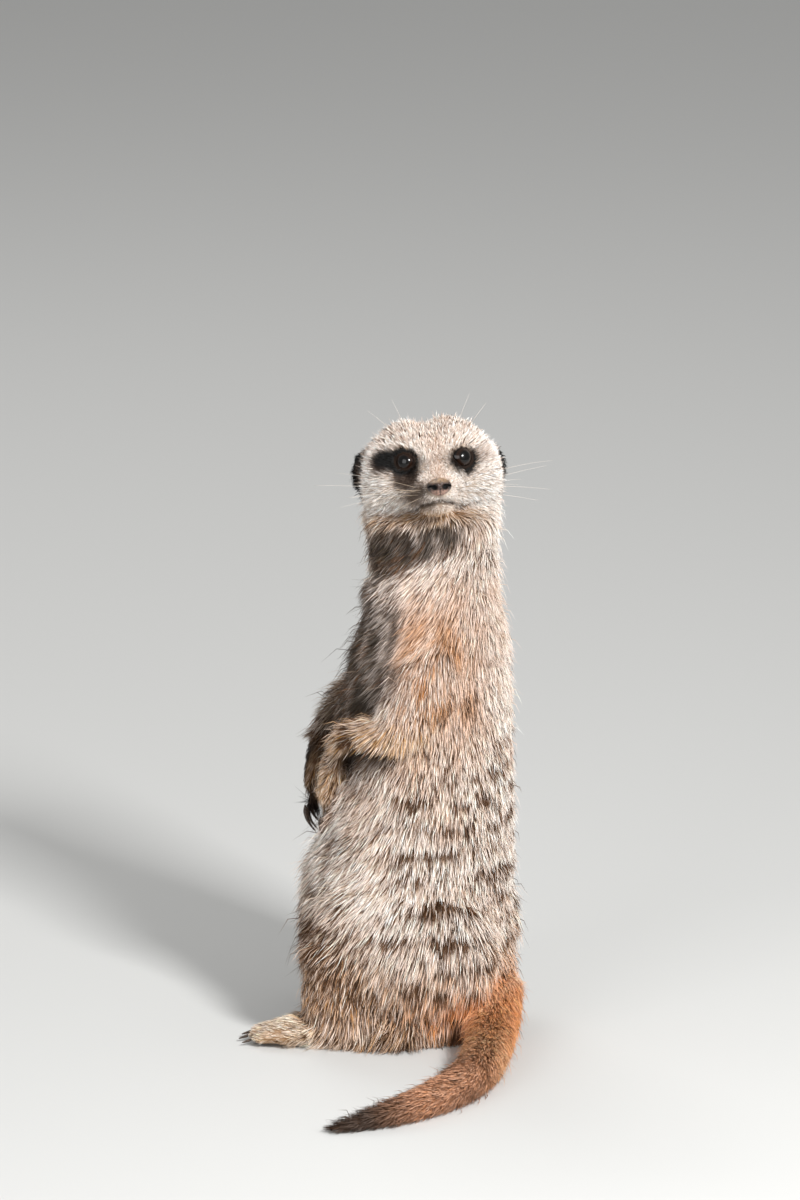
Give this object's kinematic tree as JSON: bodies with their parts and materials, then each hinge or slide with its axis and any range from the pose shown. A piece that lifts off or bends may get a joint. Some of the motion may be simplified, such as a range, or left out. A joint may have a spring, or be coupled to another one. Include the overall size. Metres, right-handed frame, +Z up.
{
  "type": "meerkat",
  "caption": "Life-size still model of a meerkat sitting upright on its haunches, looking back over its left shoulder, with grizzled fur and its tail laid round its side.",
  "frame": {"origin": "on the floor under the middle of the object's box", "axes": "+Z up; the hips face -Y and the animal's left is +X, so the face, turned over the left shoulder, looks along +X"},
  "size_m": [0.2128, 0.1272, 0.2835],
  "materials": {
    "coat": "grizzled fur, matt, cream tips over dark brown",
    "face": "short pale fur, matt",
    "limb": "short golden-tan fur, matt",
    "rusty": "rufous fur, matt",
    "dark": "dark grey-brown fur, matt",
    "black": "short black fur, matt",
    "nose": "bare skin, slightly moist",
    "eye": "wet dark brown",
    "claw": "dark horn, satin"
  },
  "bodies": {
    "root": {"claw_hand_left_1": "claw", "claw_hand_left_2": "claw", "claw_hand_left_3": "claw", "claw_hand_left_4": "claw", "claw_hand_right_1": "claw", "claw_hand_right_2": "claw", "claw_hand_right_3": "claw", "claw_hand_right_4": "claw", "claw_foot_left_1": "claw", "claw_foot_left_2": "claw", "claw_foot_left_3": "claw", "claw_foot_left_4": "claw", "claw_foot_right_1": "claw", "claw_foot_right_2": "claw", "claw_foot_right_3": "claw", "claw_foot_right_4": "claw", "hand_left": "limb", "foot_left": "limb", "shank_left": "limb", "thigh_left": "coat", "forearm_left": "limb", "upper_arm_left": "coat", "hand_right": "limb", "foot_right": "limb", "shank_right": "limb", "thigh_right": "coat", "forearm_right": "limb", "upper_arm_right": "coat", "tail_root": "rusty", "tail_upper": "rusty", "tail_lower": "rusty", "tail_tip": "dark", "trunk": "coat", "neck": "coat", "ear_left": "black", "ear_right": "black", "jaw": "face", "nose": "nose", "head": "face", "eye_left": "eye", "eye_right": "eye"}
  },
  "joints": []
}
